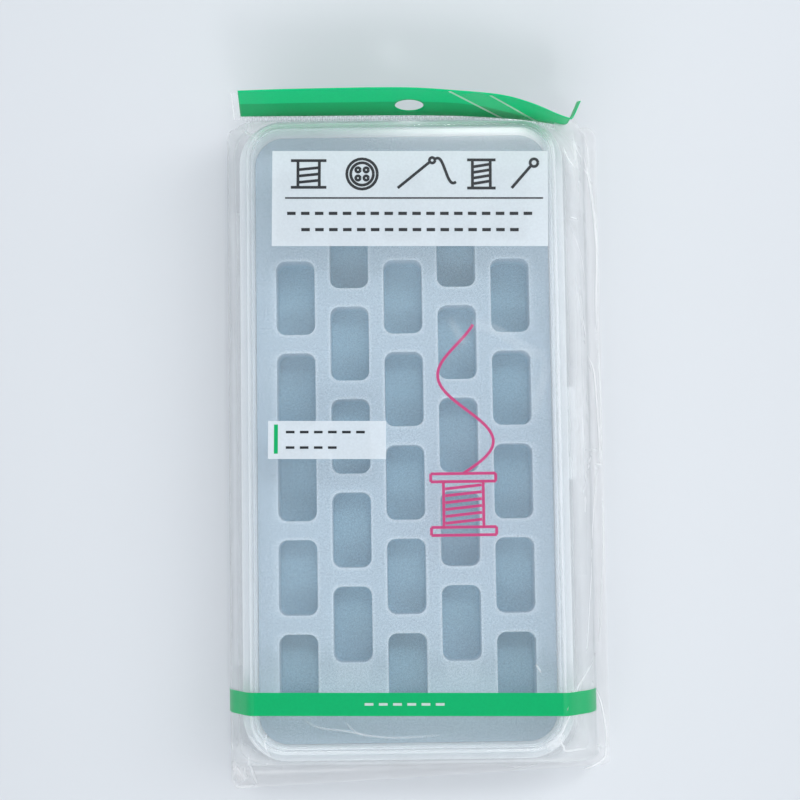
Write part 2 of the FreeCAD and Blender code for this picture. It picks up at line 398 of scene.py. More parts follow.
def mix_colours(tree, factor, first, second):
    """The colour between two."""
    inputs = {"Factor": factor, "A": first, "B": second}
    return add_node(tree, "ShaderNodeMix", inputs, data_type="RGBA").outputs["Result"]


def scaled(tree, tint, factor):
    """A colour times a factor."""
    inputs = {0: tint, "Scale": factor}
    return add_node(tree, "ShaderNodeVectorMath", inputs, operation="SCALE").outputs["Vector"]


def shader(tree, kind, inputs=None):
    """The light that a shader node gives back."""
    return add_node(tree, "ShaderNode" + kind, inputs).outputs[0]


def mix_shaders(tree, share, first, second):
    """The second shader by a share, and the first for the rest."""
    return shader(tree, "MixShader", {0: share, 1: first, 2: second})


# A sheet that is looked through: size in mm and spread of the uneven flow in the moulding, share of the
# scattered light that goes on through, and the power by which reflection grows edge-on
FLOW_SIZE, FLOW_SPREAD = 22, 0.12
GLOW_SHARE = 0.55
EDGE_POWER = 5.0
# A little over one, so that the way through a sheet seen edge-on stays finite
SLANT_LIMIT = 1.05


def veil_material(name, tint, haze, dense, roughness, grain, depth, ior, slant=True, rim=1.0):
    """A sheet that is looked through: a share of it scatters light like frosted plastic, the rest lets light
    straight through, and its surface reflects by its index. The share grows from haze to dense where the
    piece is marked, and with the slant of the view. rim is how much of the reflection is left edge-on. A
    moulding grain, with its size and depth in millimetres, breaks the reflection a little."""
    made = bpy.data.materials.get(name)
    if made:
        return made
    material, tree = new_material(name)
    bump = bumped(tree, noise(tree, grain), 0.35, depth)
    share = maths(tree, "MULTIPLY_ADD", marked(tree), dense - haze, haze)
    share = maths(tree, "MULTIPLY", share, wavering(tree, noise(tree, FLOW_SIZE, 1.0), FLOW_SPREAD))
    edge_on = add_node(tree, "ShaderNodeLayerWeight", {"Blend": 0.5}).outputs["Facing"]
    if slant:
        way = maths(tree, "DIVIDE", SLANT_LIMIT, maths(tree, "SUBTRACT", SLANT_LIMIT, edge_on))
        passed = maths(tree, "POWER", maths(tree, "SUBTRACT", 1.0, share), way)
        share = maths(tree, "SUBTRACT", 1.0, passed)
    dull = {"Base Color": opaque(tint), "Roughness": 0.5, "Specular IOR Level": 0.0, "Normal": bump}
    milk = shader(tree, "BsdfPrincipled", dull)
    glow = shader(tree, "BsdfTranslucent", {"Color": opaque(tint), "Normal": bump})
    clear = shader(tree, "BsdfTransparent")
    body = mix_shaders(tree, share, clear, mix_shaders(tree, GLOW_SHARE, milk, glow))
    gloss = shader(tree, "BsdfGlossy", {"Roughness": roughness, "Normal": bump})
    mirror = ((ior - 1) / (ior + 1)) ** 2
    steep = maths(tree, "POWER", edge_on, EDGE_POWER)
    shine = maths(tree, "MULTIPLY_ADD", steep, rim * (1 - mirror), mirror)
    add_node(tree, "ShaderNodeOutputMaterial", {"Surface": mix_shaders(tree, shine, body, gloss)})
    return material


def milky_plastic(settings):
    """Injection-moulded polypropylene without pigment: milky, waxy, seen through, with a soft gloss."""
    look = dict(haze=0.1, dense=0.8, roughness=0.2, grain=0.5, depth=0.006, ior=1.49, rim=0.25)
    return veil_material("polypropylene_milky", settings.case.plastic, **look)


def clear_film():
    """Cast polypropylene film: clear and thin, seen by its gloss and its folds."""
    look = dict(haze=0.02, dense=0.5, roughness=0.06, grain=6.0, depth=0.1, ior=1.3, slant=False, rim=0.3)
    return veil_material("polypropylene_film_clear", linear("#FFFFFF"), **look)


def crease_and_sheen_film():
    """The same film where it is folded sharply: the fold scatters light and shows as a thin white line, which
    is partly painted highlight. Wider, fainter strips of it are painted sheen and glare.
    """
    look = dict(haze=0.0, dense=1.0, roughness=0.3, grain=1.5, depth=0.1, ior=1.2, slant=False, rim=0.2)
    return veil_material("polypropylene_film_creased_and_painted_sheen", linear("#FFFFFF"), **look)


def welded_film():
    """The same film where it is welded: white on the ribs that the tool has pressed."""
    look = dict(haze=0.12, dense=0.95, roughness=0.25, grain=0.8, depth=0.05, ior=1.3, slant=False)
    return veil_material("polypropylene_weld", linear("#FBFDFE"), **look)


# The foam's cells are drawn at this size in mm, coarser than the real ones, so that they show
FOAM_CELL = 0.5


def foam_material(foam):
    """Closed-cell EVA foam, sliced and punched: a dull skin of fine open cells, with painted shade that
    darkens it towards the slot floors, and a painted highlight that makes the lips round the slots paler."""
    material, tree = new_material("eva_foam_sliced")
    place = add_node(tree, "ShaderNodeTexCoord").outputs["Object"]
    height = add_node(tree, "ShaderNodeSeparateXYZ", {"Vector": place}).outputs["Z"]
    # Painted shade: the colour darkens from the foam's top down the walls to the slot floors
    rise = remap(tree, height, (PAD_HIGH[2] + 0.3) * MM, (FOAM_HIGH[2] - 0.6) * MM)
    body = mix_colours(tree, rise, opaque(foam.slot_shade), opaque(foam.top))
    # Painted highlight: paler colour on the lip round each slot, where the mark is set
    body = mix_colours(tree, marked(tree), body, opaque(foam.lip_highlight))
    cells = noise(tree, FOAM_CELL, roughness=0.6)
    dull = {"Base Color": scaled(tree, body, wavering(tree, cells, 0.16)), "Roughness": 0.85}
    dull.update({"Specular IOR Level": 0.25, "Normal": bumped(tree, cells, 0.6, 0.2)})
    add_node(tree, "ShaderNodeOutputMaterial", {"Surface": shader(tree, "BsdfPrincipled", dull)})
    return material


def press_streaks(tree):
    """Faint streaks from the printing press, as a factor near one."""
    return wavering(tree, noise(tree, 0.6), 0.03)


def thin_shader(tree, tint, share, inputs):
    """A thin sheet's shader: a share of the light that reaches it glows through to the other side."""
    front = shader(tree, "BsdfPrincipled", {"Base Color": tint, **inputs})
    return mix_shaders(tree, share, front, shader(tree, "BsdfTranslucent", {"Color": tint}))


def ink_material(name, tint, roughness, coat, alpha=1.0):
    """Printed ink: an even colour with faint streaks from the press, under a gloss. Light glows through it,
    and the share that alpha leaves goes straight through."""
    material, tree = new_material(name)
    tone = scaled(tree, tint[:3], press_streaks(tree))
    look = {"Roughness": roughness, "Coat Weight": coat, "Coat Roughness": 0.06}
    sheet = thin_shader(tree, tone, 0.3, look)
    veil = mix_shaders(tree, alpha, shader(tree, "BsdfTransparent"), sheet)
    add_node(tree, "ShaderNodeOutputMaterial", {"Surface": veil})
    return material


def header_material(light, dark):
    """Stiff film printed green on its back, with painted light: the brighter green stands in for light
    shining through where it is one layer, and the darker green is painted shade where a second layer lies
    behind it. The mark is the distance above the second layer's edge, in millimetres."""
    material, tree = new_material("printed_film_green")
    # Painted light: brighter green where light would shine through one layer, painted shade where a second
    # layer lies behind
    single = remap(tree, marked(tree), -0.3, 0.3, curve="SMOOTHSTEP")
    body = mix_colours(tree, single, opaque(dark), opaque(light))
    tone = scaled(tree, body, press_streaks(tree))
    sheet = thin_shader(tree, tone, 0.4, {"Roughness": 0.35, "Specular IOR Level": 0.3})
    add_node(tree, "ShaderNodeOutputMaterial", {"Surface": sheet})
    return material


# Case


def case_path(settings):
    """The insert's plan as a path, which the tray and the lid follow at an offset."""
    corner = settings.foam.corner / MM
    return rounded_path(FOAM_LOW[:2], FOAM_HIGH[:2], corner, 24, 48, 16), corner


def case_offsets(case):
    """From the insert's plan to the wall's inside, its outside and the rim's edge, in millimetres."""
    inside = case.clearance / MM
    outside = inside + case.wall / MM
    return inside, outside, outside + case.rim_width / MM


# How thick the lid looks, ring by ring, from the middle of its top into its rounded edge
LID_EDGE_MARK = np.array([0, 0, 0, 0.1, 0.3, 0.6, 0.9])


def lid_surface(settings):
    """Section of the lid carried round the insert's plan: over the top, down the wall, round the rim and back
    up inside."""
    case = settings.case
    path, corner = case_path(settings)
    inside, outside, rim = case_offsets(case)
    bottom, top = LID_LOW[2], LID_HIGH[2]
    rim_top = bottom + case.rim_thickness / MM
    ceiling = top - case.top / MM
    big = case.top_round / MM
    small = case.edge_round / MM
    section = [
        (outside - 2 * big, top, 0),
        (outside, top, big),
        (outside, rim_top, small),
        (rim, rim_top, small),
        (rim, bottom, small),
        (inside, bottom, small / 2),
        (inside, ceiling, big - case.wall / MM),
        (inside - 2 * big, ceiling, 0),
    ]
    points = shell(path, corner, soften(section))
    wall = np.ones(len(points) - 2 * len(LID_EDGE_MARK))
    thick = np.concatenate([LID_EDGE_MARK, wall, LID_EDGE_MARK[::-1]])
    return points, np.broadcast_to(thick[:, None], points.shape[:2])


def tray_surface(settings):
    """Section of the tray carried round the insert's plan: over the floor, up inside, round the rim and down
    the wall to the underside."""
    case = settings.case
    path, corner = case_path(settings)
    inside, outside, rim = case_offsets(case)
    bottom, top = BASE_LOW[2], BASE_HIGH[2]
    floor = bottom + case.floor / MM
    rim_bottom = top - case.rim_thickness / MM
    big = case.bottom_round / MM
    small = case.edge_round / MM
    section = [
        (inside - 2 * big, floor, 0),
        (inside, floor, small),
        (inside, top, small / 2),
        (rim, top, small),
        (rim, rim_bottom, small),
        (outside, rim_bottom, small),
        (outside, bottom, big),
        (outside - 2 * big, bottom, 0),
    ]
    points = shell(path, corner, soften(section))
    thick = np.pad(np.ones(len(points) - 4), 2)
    return points, np.broadcast_to(thick[:, None], points.shape[:2])


# Corner radius of the catch ledge in plan, and how far it runs into the rim, in mm
CATCH_CORNER, CATCH_OVERLAP = 0.9, 0.1


def catch_surface(settings):
    """Slab with rounded edges: a rounded section carried round the ledge's plan."""
    case = settings.case
    half = case.catch_length / MM / 2
    small = case.edge_round / MM
    low, high = (LID_HIGH[0] - CATCH_OVERLAP, -half), (BASE_HIGH[0], half)
    top, bottom = BASE_HIGH[2], BASE_HIGH[2] - case.rim_thickness / MM
    section = soften([(-2 * small, top, 0), (0, top, small), (0, bottom, small), (-2 * small, bottom, 0)])
    return shell(rounded_path(low, high, CATCH_CORNER, 3, 24, 8), CATCH_CORNER, section)


# Radius in plan of the two ends of the hinge web, in mm, and rows of points along it
WEB_END, WEB_ROWS = 2.0, 81


def hinge_surface(settings):
    """Closed section of the web, straight legs and a half circle between them, carried along Y. Its length
    follows a quarter circle near the fold, which rounds the two ends."""
    web = settings.case.web / MM
    middle = (WEB_LOW[2] + WEB_HIGH[2]) / 2
    outer = (WEB_HIGH[2] - WEB_LOW[2]) / 2
    turn_x = WEB_LOW[0] + outer
    angle = np.linspace(math.pi / 2, 3 * math.pi / 2, 25)

    def loop(radius):
        x = np.concatenate([[WEB_HIGH[0]], turn_x + radius * np.cos(angle), [WEB_HIGH[0]]])
        z = np.concatenate([[middle + radius], middle + radius * np.sin(angle), [middle - radius]])
        return np.stack([x, z], -1)

    section = np.concatenate([loop(outer), loop(outer - web)[::-1]])
    near = np.clip(WEB_END - (section[:, 0] - WEB_LOW[0]), 0, WEB_END)
    reach = WEB_HIGH[1] - WEB_END + np.sqrt(WEB_END**2 - near**2)
    y = np.linspace(-1, 1, WEB_ROWS)[:, None] * reach
    x, z = (np.broadcast_to(column, y.shape) for column in section.T)
    body = np.stack([x, y, z], -1)
    ends = body[[0, -1]][:, :, None]
    flip = np.concatenate([ends, ends[:, ::-1]], 2)
    count = len(section) // 2
    return [(body, True), (flip[0, :count], False), (flip[1, :count], False)]


# Stroke width of the drawing on the lid, in mm
MOTIF_STROKE = 0.8


def motif_strokes():
    """Line drawing on the lid: a wound bobbin from the side, and its thread in a long wave."""
    left, right = 7, 25
    core = (10.5, 21.5)
    foot, foot_top, head_bottom, head = -28.5, -26.3, -13.7, -11.5
    t = np.linspace(0, 1, 60)
    wave = np.stack([16 + 9.5 * np.sin(7.0 * t) * (1 - 0.45 * t), head + 41.5 * t], -1)
    strokes = [[(left, y), (right, y)] for y in (foot, head, foot_top, head_bottom)]
    strokes += [[(x, foot), (x, foot_top)] for x in (left, right)]
    strokes += [[(x, head_bottom), (x, head)] for x in (left, right)]
    strokes += [[(core[0] + 0.45, y), (core[1] - 0.45, y + 1.0)] for y in np.arange(-25.2, -15, 1.9)]
    strokes += [[(x, foot_top), (x, head_bottom)] for x in core]
    return [densify(stroke) for stroke in strokes + [wave]]


class BOBBINBOX_OT_tray(bpy.types.Operator):
    """Add the tray of the case, with its rim and catch ledge"""

    bl_idname = "bobbin_box.tray"
    bl_label = "Tray"

    def execute(self, context):
        settings = context.scene.bobbin_box
        points, thick = tray_surface(settings)
        ledge = catch_surface(settings)
        thick = np.concatenate([thick.ravel(), np.ones(ledge.shape[0] * ledge.shape[1])])
        tray = add_piece("case_tray", [(points, True), (ledge, True)], milky_plastic(settings), mark=thick)
        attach(tray, "base")
        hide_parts("base_shell")
        return {"FINISHED"}


class BOBBINBOX_OT_lid(bpy.types.Operator):
    """Add the lid of the case and the line drawing printed on it"""

    bl_idname = "bobbin_box.lid"
    bl_label = "Lid and motif"

    def execute(self, context):
        settings = context.scene.bobbin_box
        points, thick = lid_surface(settings)
        lid = add_piece("case_lid", [(points, True)], milky_plastic(settings), mark=thick)
        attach(lid, "lid")
        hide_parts("lid_shell")
        grids = drawing(motif_strokes(), MOTIF_STROKE, LID_HIGH[2] + INK_LIFT)
        ink = ink_material("screen_ink_pink", settings.case.motif, roughness=0.4, coat=0.0)
        motif = add_piece("lid_motif", grids, ink, closed=False)
        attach(motif, "lid")
        return {"FINISHED"}


class BOBBINBOX_OT_hinge(bpy.types.Operator):
    """Add the thin web that joins the two rims, and finish the latch"""

    bl_idname = "bobbin_box.hinge"
    bl_label = "Hinge web and latch"

    def execute(self, context):
        settings = context.scene.bobbin_box
        web = add_piece("hinge_web", hinge_surface(settings), milky_plastic(settings))
        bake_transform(web)
        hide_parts("living_hinge")
        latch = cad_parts["latch_tab"]
        latch.data.materials.clear()
        latch.data.materials.append(milky_plastic(settings))
        return {"FINISHED"}


# Foam

# Slots in each column
SLOT_COUNTS = (6, 5, 6, 5, 6)
# Steps of the lattice to one column pitch and to one row pitch
CELL_STEPS = (14, 24)


def slot_centres(foam):
    """Centres of the slots column by column, with the cell of foam that each one is cut from."""
    half = FOAM_HIGH[:2]
    column_pitch = foam.column_pitch / MM
    row_pitch = foam.row_pitch / MM
    cells = []
    last = len(SLOT_COUNTS) - 1
    for column, count in enumerate(SLOT_COUNTS):
        x = (column - last / 2) * column_pitch
        x0 = -half[0] if column == 0 else x - column_pitch / 2
        x1 = half[0] if column == last else x + column_pitch / 2
        for row in range(count):
            y = (row - (count - 1) / 2) * row_pitch
            y0 = -half[1] if row == 0 else y - row_pitch / 2
            y1 = half[1] if row == count - 1 else y + row_pitch / 2
            cells.append(((x, y), (x0, y0), (x1, y1)))
    return cells


def cell_edge(low, high, step):
    """Points round a cell, where its edge crosses the lines of one lattice that all cells share."""
    sides = []
    for axis in (0, 1):
        first = math.ceil(low[axis] / step[axis] + 1e-6)
        last = math.floor(high[axis] / step[axis] - 1e-6)
        sides.append(np.concatenate([[low[axis]], np.arange(first, last + 1) * step[axis], [high[axis]]]))
    return square_path(*sides)


def foam_surface(foam):
    """For each slot, rings that run from the cell's edge over the flat top and the soft lip, down the wall
    and in over the floor. A ring's points lie on the shortest way from the edge to the slot. The insert's
    own side and underside go round the outer points of all cells."""
    corner = foam.corner / MM
    half = FOAM_HIGH[:2]
    step = (foam.column_pitch / MM / CELL_STEPS[0], foam.row_pitch / MM / CELL_STEPS[1])
    radius = foam.slot_corner / MM
    inner = np.array([foam.slot_width, foam.slot_length]) / MM / 2 - radius
    lip = foam.lip / MM
    top, floor, bottom = FOAM_HIGH[2], PAD_HIGH[2], PAD_LOW[2]
    fall = np.linspace(0, math.pi / 2, 6)
    inward = [radius - 0.05, radius - 0.1, radius - 0.3, radius / 2, 0]
    downward = [(top + floor) / 2, floor + 0.25, floor, floor, floor]
    reach = np.concatenate([radius + lip - lip * np.sin(fall), inward])
    height = np.concatenate([top - lip + lip * np.cos(fall), downward])
    level = np.concatenate([np.full(3, top), height, [floor]])
    # The mark of each ring, a painted highlight: strongest on the lip
    lip_highlight = np.array([0, 0, 0, 0.5, 0.9, 0.9, 0.6, 0.3, 0, 0, 0, 0, 0, 0, 0])
    slot_spine = inner[1] - inner[0]
    grids = []
    marks = []
    outer = []
    for centre, low, high in slot_centres(foam):
        edge = cell_edge(low, high, step)
        inside = np.clip(edge, corner - half, half - corner)
        away = edge - inside
        far = np.linalg.norm(away, axis=1, keepdims=True)
        edge = np.where(far > corner, inside + away * corner / np.maximum(far, 1e-9), edge)
        outer.append(edge[(far[:, 0] > corner - 1e-6)])
        core = np.clip(edge - centre, -inner, inner)
        way = edge - centre - core
        way /= np.linalg.norm(way, axis=1, keepdims=True)
        foot = centre + core
        lip_ring = foot + reach[0] * way
        flat = edge + np.linspace(0, 1, 4)[:-1, None, None] * (lip_ring - edge)
        down = foot + reach[:, None, None] * way
        middle = centre + np.stack([np.zeros(len(core)), np.clip(core[:, 1], -slot_spine, slot_spine)], -1)
        plan = np.concatenate([flat, down, middle[None]])
        grids.append((raised(plan, level), True))
        marks.append(np.broadcast_to(lip_highlight[:, None], plan.shape[:2]).ravel())
    ring = np.unique(np.round(np.concatenate(outer), 6), axis=0)
    ring = ring[np.argsort(np.arctan2(ring[:, 1], ring[:, 0]))]
    reach_y = half[1] - half[0]
    shut = np.stack([np.zeros(len(ring)), np.clip(ring[:, 1], -reach_y, reach_y)], -1)
    side = raised(np.stack([ring, ring, ring, shut]), (top, floor, bottom, bottom))
    return grids + [(side, True)], np.concatenate(marks + [np.zeros(side.shape[0] * side.shape[1])])


class BOBBINBOX_OT_foam(bpy.types.Operator):
    """Add the foam insert with its 28 slots"""

    bl_idname = "bobbin_box.foam"
    bl_label = "Foam insert"

    def execute(self, context):
        foam = context.scene.bobbin_box.foam
        grids, lip_highlight_marks = foam_surface(foam)
        insert = add_piece("foam_insert", grids, foam_material(foam), sharp_deg=50.0, mark=lip_highlight_marks)
        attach(insert, "base")
        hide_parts("foam_block", "foam_pad")
        return {"FINISHED"}


# Bag

# Outline of the front film at some levels, from the lid's top down to the table:
# left, right, mouth end, header end, corner radius, height
FILM_LEVELS = np.array(
    [
        (-41.4, 41.4, -85.9, 85.9, 7.5, 26.62),
        (-42.6, 42.6, -87.1, 87.1, 8.7, 26.6),
        (-44.1, 44.2, -88.7, 88.6, 10.2, 25.6),
        (-46.4, 47.2, -90.4, 90.0, 10.6, 21.5),
        (-48.8, 50.4, -91.8, 91.1, 9.0, 17.0),
        (-50.0, 52.4, -92.6, 91.3, 6.5, 12.0),
        (-50.3, 53.4, -93.4, 91.4, 5.0, 6.0),
        (-50.6, 54.3, -94.6, 91.5, 4.2, 1.6),
        (-51.0, 55.6, -96.8, 91.6, 3.5, 0.5),
        (-51.4, 58.0, -100.6, 91.65, 3.0, 0.42),
    ]
)
# The levels joined smoothly
FILM_OUTLINES = smooth_rows(FILM_LEVELS, 6)
# Points of a ring of the film: along X, along Y and round a corner
FILM_STEPS = (90, 180, 24)


def film_rings():
    """One ring for each outline, with the same number of points."""
    out = []
    for left, right, mouth, end, corner, height in FILM_OUTLINES:
        centre, normal = rounded_path((left, mouth), (right, end), corner, *FILM_STEPS)
        out.append(raised(centre + corner * normal, height))
    return np.stack(out), normal


def mouth_skew(x, y):
    """How far the bag's mouth end is drawn in: nothing at its left edge, and the most at its right."""
    most, left, width, start, reach = 5.5, -51, 109, -92, 8.6
    return most * np.clip((x - left) / width, 0, 1) * np.clip((start - y) / reach, 0, 1)


# Waves of the film's folds along the perimeter: weight, length in mm, how they lean, how far they wander and
# over what length in mm
FOLD_WAVES = ((1.0, 17.0, 1.0, 1.7, 61.0), (0.6, 7.3, -0.8, 2.1, 43.0))
# Heights in mm: where folds start, over what drop they grow, and below what they fade again
FOLD_START, FOLD_DROP, FOLD_FOOT = 21.0, 9.0, 3.0
# How far folds push the film out on the straight sides, and how much more at the corners, in mm
FOLD_SIDE, FOLD_CORNER = 0.1, 0.6
# White veil of the film's sides, partly fine wrinkles and partly painted sheen: height in mm where it starts
# and over what drop it grows, where the right side and the mouth end start, and its share elsewhere
VEIL_START, VEIL_DROP, VEIL_RIGHT, VEIL_MOUTH, VEIL_ELSEWHERE = 26.0, 7.0, 44, -86, 0.6
# The end towards the header is clear: where it starts and how far it fades, in mm
CLEAR_START, CLEAR_FADE = 84, 4


def film_surface():
    """Rings from the middle of the lid's top outwards and down to the table. Folds are waves along the
    perimeter that grow down the sides, strongest at the corners, and only push the film outwards. The top
    sags by two slow sines. The mark is a white veil on the sides, partly the scatter of fine wrinkles and
    partly painted sheen, fullest on the right side and at the mouth end; it fades out towards the header."""
    side, normal = film_rings()
    perimeter = side[20, :, :2]
    run = np.concatenate([[0], np.cumsum(np.linalg.norm(np.diff(perimeter, axis=0), axis=1))])
    level = side[:, :1, 2]
    fall = np.clip((FOLD_START - level) / FOLD_DROP, 0, 1) * np.clip(level / FOLD_FOOT, 0.15, 1)
    slant = 0.6 * side[:, :, 2]
    wave = 0
    for weight, span, lean, wander, drift in FOLD_WAVES:
        phase = 2 * math.pi * (run + lean * slant) / span
        wave = wave + weight * (1 + np.sin(phase + wander * np.sin(2 * math.pi * run / drift)))
    turn = np.abs(normal[:, 0] * normal[:, 1]) * 2
    push = fall * (FOLD_SIDE + FOLD_CORNER * turn) * wave / 2
    side[:, :, :2] += push[..., None] * normal
    side[:, :, 1] += mouth_skew(side[..., 0], side[..., 1])
    lid_spine = np.array([0.0, 44.5])
    centre = np.clip(side[0, :, :2], -lid_spine, lid_spine)
    share = np.linspace(0, 1, 24)[:-1, None, None]
    plan = centre + share * (side[0, :, :2] - centre)
    x, y = plan[..., 0], plan[..., 1]
    sag = 0.05 * np.sin(0.11 * x + 0.05 * y) + 0.05 * np.sin(0.07 * y - 0.09 * x + 1.0)
    points = np.concatenate([raised(plan, FILM_LEVELS[0, 5] + sag * (1 - share[..., 0])), side])
    x, y, z = np.moveaxis(points, -1, 0)
    # White veil, partly fine wrinkles and partly painted sheen, full on the right side and at the mouth end
    wrinkles_and_sheen = np.where((x > VEIL_RIGHT) | (y < VEIL_MOUTH), 1.0, VEIL_ELSEWHERE)
    veil = np.clip((VEIL_START - z) / VEIL_DROP, 0, 1) * wrinkles_and_sheen
    along = np.clip((y - CLEAR_START) / CLEAR_FADE, 0, 1)
    across = np.clip((VEIL_RIGHT - np.abs(x)) / CLEAR_FADE, 0, 1)
    return points, veil * (1 - along * across)


def film_height(x, y):
    """Height of the front film over a place: found between the last outline that leaves the place outside and
    the first that holds it, by its distances to the two."""
    columns = FILM_OUTLINES.T.reshape(6, -1, *[1] * np.ndim(x))
    left, right, mouth, end, corner, height = columns
    beyond_x = np.abs(x - (left + right) / 2) - (right - left) / 2 + corner
    beyond_y = np.abs(y - (mouth + end) / 2) - (end - mouth) / 2 + corner
    away = np.hypot(np.maximum(beyond_x, 0), np.maximum(beyond_y, 0)) - corner
    away = away + np.minimum(np.maximum(beyond_x, beyond_y), 0)
    held = np.argmax(away <= 0, axis=0)
    held = np.where((away <= 0).any(axis=0), np.maximum(held, 1), len(away) - 1)[None]
    pair = np.stack([away, np.broadcast_to(height, away.shape)])
    far, high = np.take_along_axis(pair, held[None] - 1, 1)[:, 0]
    near, low = np.take_along_axis(pair, held[None], 1)[:, 0]
    return high + np.clip(far / np.maximum(far - near, 1e-9), 0, 1) * (low - high)


# Sharp creases of the front film, white strips that are partly the fold's own whitening and partly painted
# highlight, with wider, fainter strips that are painted sheen and glare: width, strength, then points of the
# line in plan
CREASES_AND_SHEEN = (
    (0.7, 0.8, (51.5, 88.5), (54.5, 81.5), (56.5, 70), (57.5, 55), (57, 40), (57, 30)),
    (0.6, 0.7, (49, 87.5), (50.5, 81.5), (55, 78), (56.5, 74.5)),
    (0.5, 0.5, (45, 86), (48.5, 83.5), (52, 82)),
    (0.5, 0.6, (54, 90), (55.5, 85), (55.5, 77.5)),
    (0.6, 0.8, (51.5, 26.5), (55.5, 20.5), (56.5, 10.5), (57, -1.5), (57, -9)),
    (0.5, 0.5, (57, 28), (57.5, 15), (57.5, 1.5), (57.5, -4.5)),
    (0.4, 0.7, (50.5, 5), (50.5, 0), (50.5, -5)),
    (0.4, 0.6, (51, -5), (56.5, -4)),
    (0.6, 0.9, (54.5, -6), (52, -10.5)),
    (0.4, 0.6, (55.5, -8.5), (57.5, -8.5)),
    (0.5, 0.7, (56, -10), (55, -20.5), (54, -30.5), (52, -44.5), (50.5, -58.5), (50, -61.5)),
    (0.4, 0.5, (57.5, -19), (57.5, -30.5), (56.5, -48), (55.5, -60)),
    (0.7, 0.8, (54, -63), (48.5, -69), (46.5, -72), (44.5, -77.5), (42.5, -81.5), (41, -84.5)),
    (0.7, 0.9, (41, -84.5), (42.5, -87), (43.5, -88.5), (49, -88.5), (56, -90)),
    (0.6, 0.9, (57, -90), (56.5, -93), (54, -95), (50, -96.5)),
    (0.6, 0.7, (52, -70), (55.5, -76.5), (57, -85.5), (57, -91)),
    (0.4, 0.5, (50.5, -66), (48.5, -69), (47.5, -72.5), (45.5, -77.5)),
    (0.4, 0.4, (27, -95), (32, -95.5), (37, -94.5)),
    (0.5, 0.6, (-51, 71.5), (-51, 41.5), (-51, 12), (-51, -17.5), (-51, -46.5), (-51, -72.5)),
    (0.5, 0.7, (-51, -70), (-51, -81), (-50.5, -91), (-50.5, -99)),
    (0.8, 0.9, (-44.5, -88.5), (-45.5, -94.5), (-44, -99.5)),
    (0.7, 0.7, (-46.5, -90.5), (-47.5, -95.5), (-47, -97.5)),
    (1.4, 0.7, (-48.5, -90.5), (-48.5, -96), (-46.5, -98)),
    (0.7, 0.7, (-44.5, -99.5), (-47, -100), (-50, -100)),
    (0.5, 0.7, (-39, -82), (-39.5, -85), (-38, -88.5)),
    (0.8, 0.6, (-43.5, -82.5), (-42, -85), (-38.5, -88)),
    (0.6, 0.6, (-46, 89.5), (-43.5, 86), (-40, 83)),
    (0.5, 0.35, (-28.5, -78.5), (-24.5, -80.5), (-17.5, -81.5), (-10, -83), (-2.5, -83.5), (8.5, -83)),
    (0.4, 0.3, (-17.5, -79), (-15, -81.5), (-12, -83)),
    (0.5, 0.6, (35, -64), (36.5, -66.5)),
    (2.6, 0.16, (18.5, 30.5), (26, 28), (35, 22.5), (39.5, 20.5)),
    (2.4, 0.14, (40, 20.5), (38, 12), (36, 4)),
    (2, 0.12, (13, 32), (17, 24)),
    (4, 0.3, (36, 87), (44, 84), (49.5, 76), (51.5, 62)),
    (5, 0.3, (47, 60), (49.5, 40), (50.5, 15), (50, -12), (48.5, -40)),
    (4, 0.25, (-48, -84), (-45, -90), (-36, -92.5)),
    (3, 0.25, (44, -70), (46.5, -80), (50, -90)),
    (2.4, 0.6, (37.5, -86.5), (40.5, -85.5), (42, -83)),
    (1, 0.9, (49.5, 84), (50, 80), (51, 75.5)),
    (0.8, 0.8, (46, 81), (47.5, 78), (50, 75.5)),
    (0.6, 0.8, (52.5, 87.5), (53, 83.5), (52, 77.5)),
    (0.5, 0.7, (50.5, 61), (47.5, 61)),
    (0.5, 0.6, (48, 58), (51.5, 50), (53.5, 38.5)),
    (0.5, 0.6, (49.5, 41), (52, 30), (55, 18.5)),
    (0.7, 0.9, (46.5, -71), (45, -74), (44, -78.5)),
    (0.5, 0.8, (45, -71.5), (43.5, -77)),
    (1.2, 1, (-50.5, -92.5), (-50, -95.5), (-48.5, -98.5)),
    (1, 0.9, (-51, -95), (-49.5, -95), (-47.5, -98.5)),
)


# How high a crease lies over the film and how much its middle rises, in mm, and how many times its width it
# spreads as it fades
CREASE_LIFT, CREASE_RIDGE, CREASE_SPREAD = 0.2, 0.15, 1.5


def crease_and_sheen_strip(width, line):
    """Strip along a plan line on the film, raised to a ridge in its middle. Its strength falls to nothing at
    the sides and, by a half sine, at the ends."""
    path = smooth_rows(line, 8)
    across = np.linspace(-1, 1, 5)
    side = leftward(path) * width / 2
    plan = path[:, None] + CREASE_SPREAD * across[:, None] * side[:, None]
    height = film_height(plan[..., 0], plan[..., 1]) + CREASE_LIFT + CREASE_RIDGE * (1 - np.abs(across))
    fade = np.sin(np.linspace(0.05, math.pi - 0.05, len(path))) ** 0.5
    return raised(plan, height), fade[:, None] * (1 - across**2)


# Height of the back film's middle over the table, in mm
BACK_HEIGHT = 0.12


def gathers(piece):
    """Gives the piece its own copy of its mesh."""
    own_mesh(piece)


